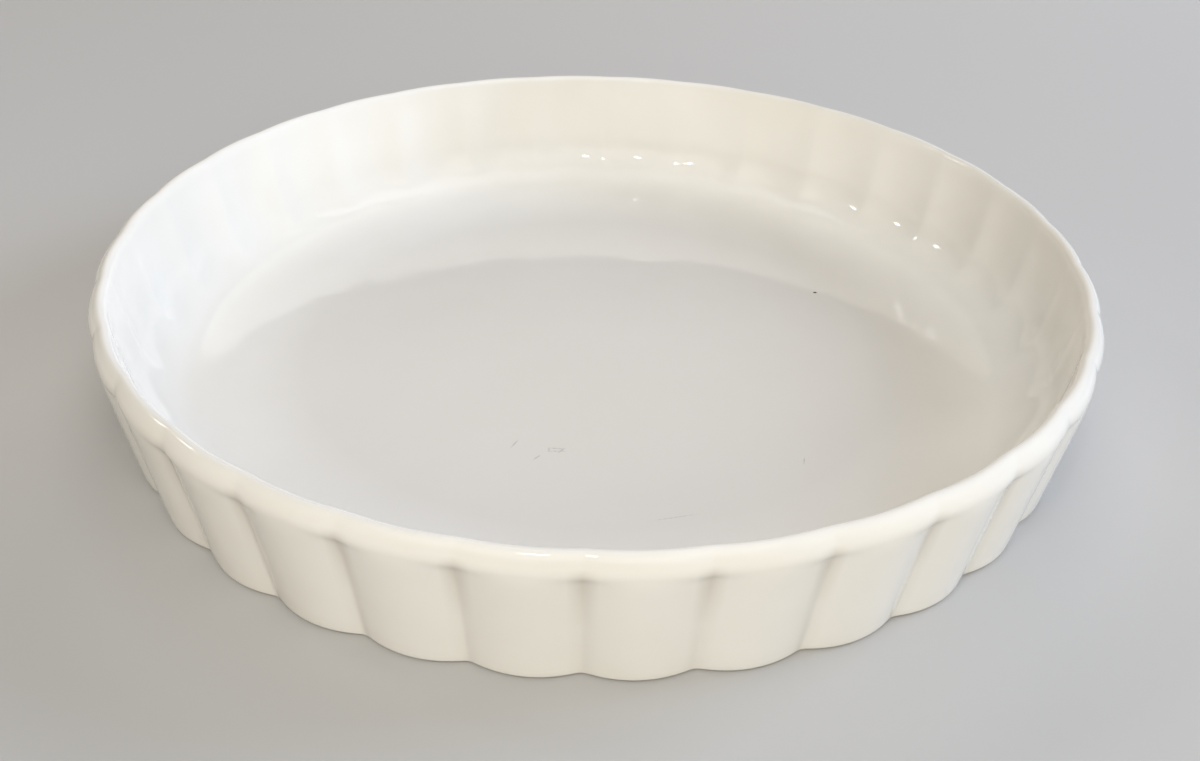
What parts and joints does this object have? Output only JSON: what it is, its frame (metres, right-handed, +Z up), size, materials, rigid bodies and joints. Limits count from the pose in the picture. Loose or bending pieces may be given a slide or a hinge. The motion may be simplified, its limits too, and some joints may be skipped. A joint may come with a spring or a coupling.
{
  "type": "quiche dish",
  "caption": "Shallow round baking dish in white glazed ceramic, with a fluted leaning wall, a rounded wavy lip and a flat floor.",
  "frame": {"origin": "centre of the foot ring, on the table that the dish stands on", "axes": "+Z up along the dish's axis, out of its open top; +X through the bulge of one flute"},
  "size_m": [0.3, 0.3, 0.043],
  "materials": {
    "glaze": "gloss"
  },
  "bodies": {
    "root": {"dish": "glaze"}
  },
  "joints": []
}
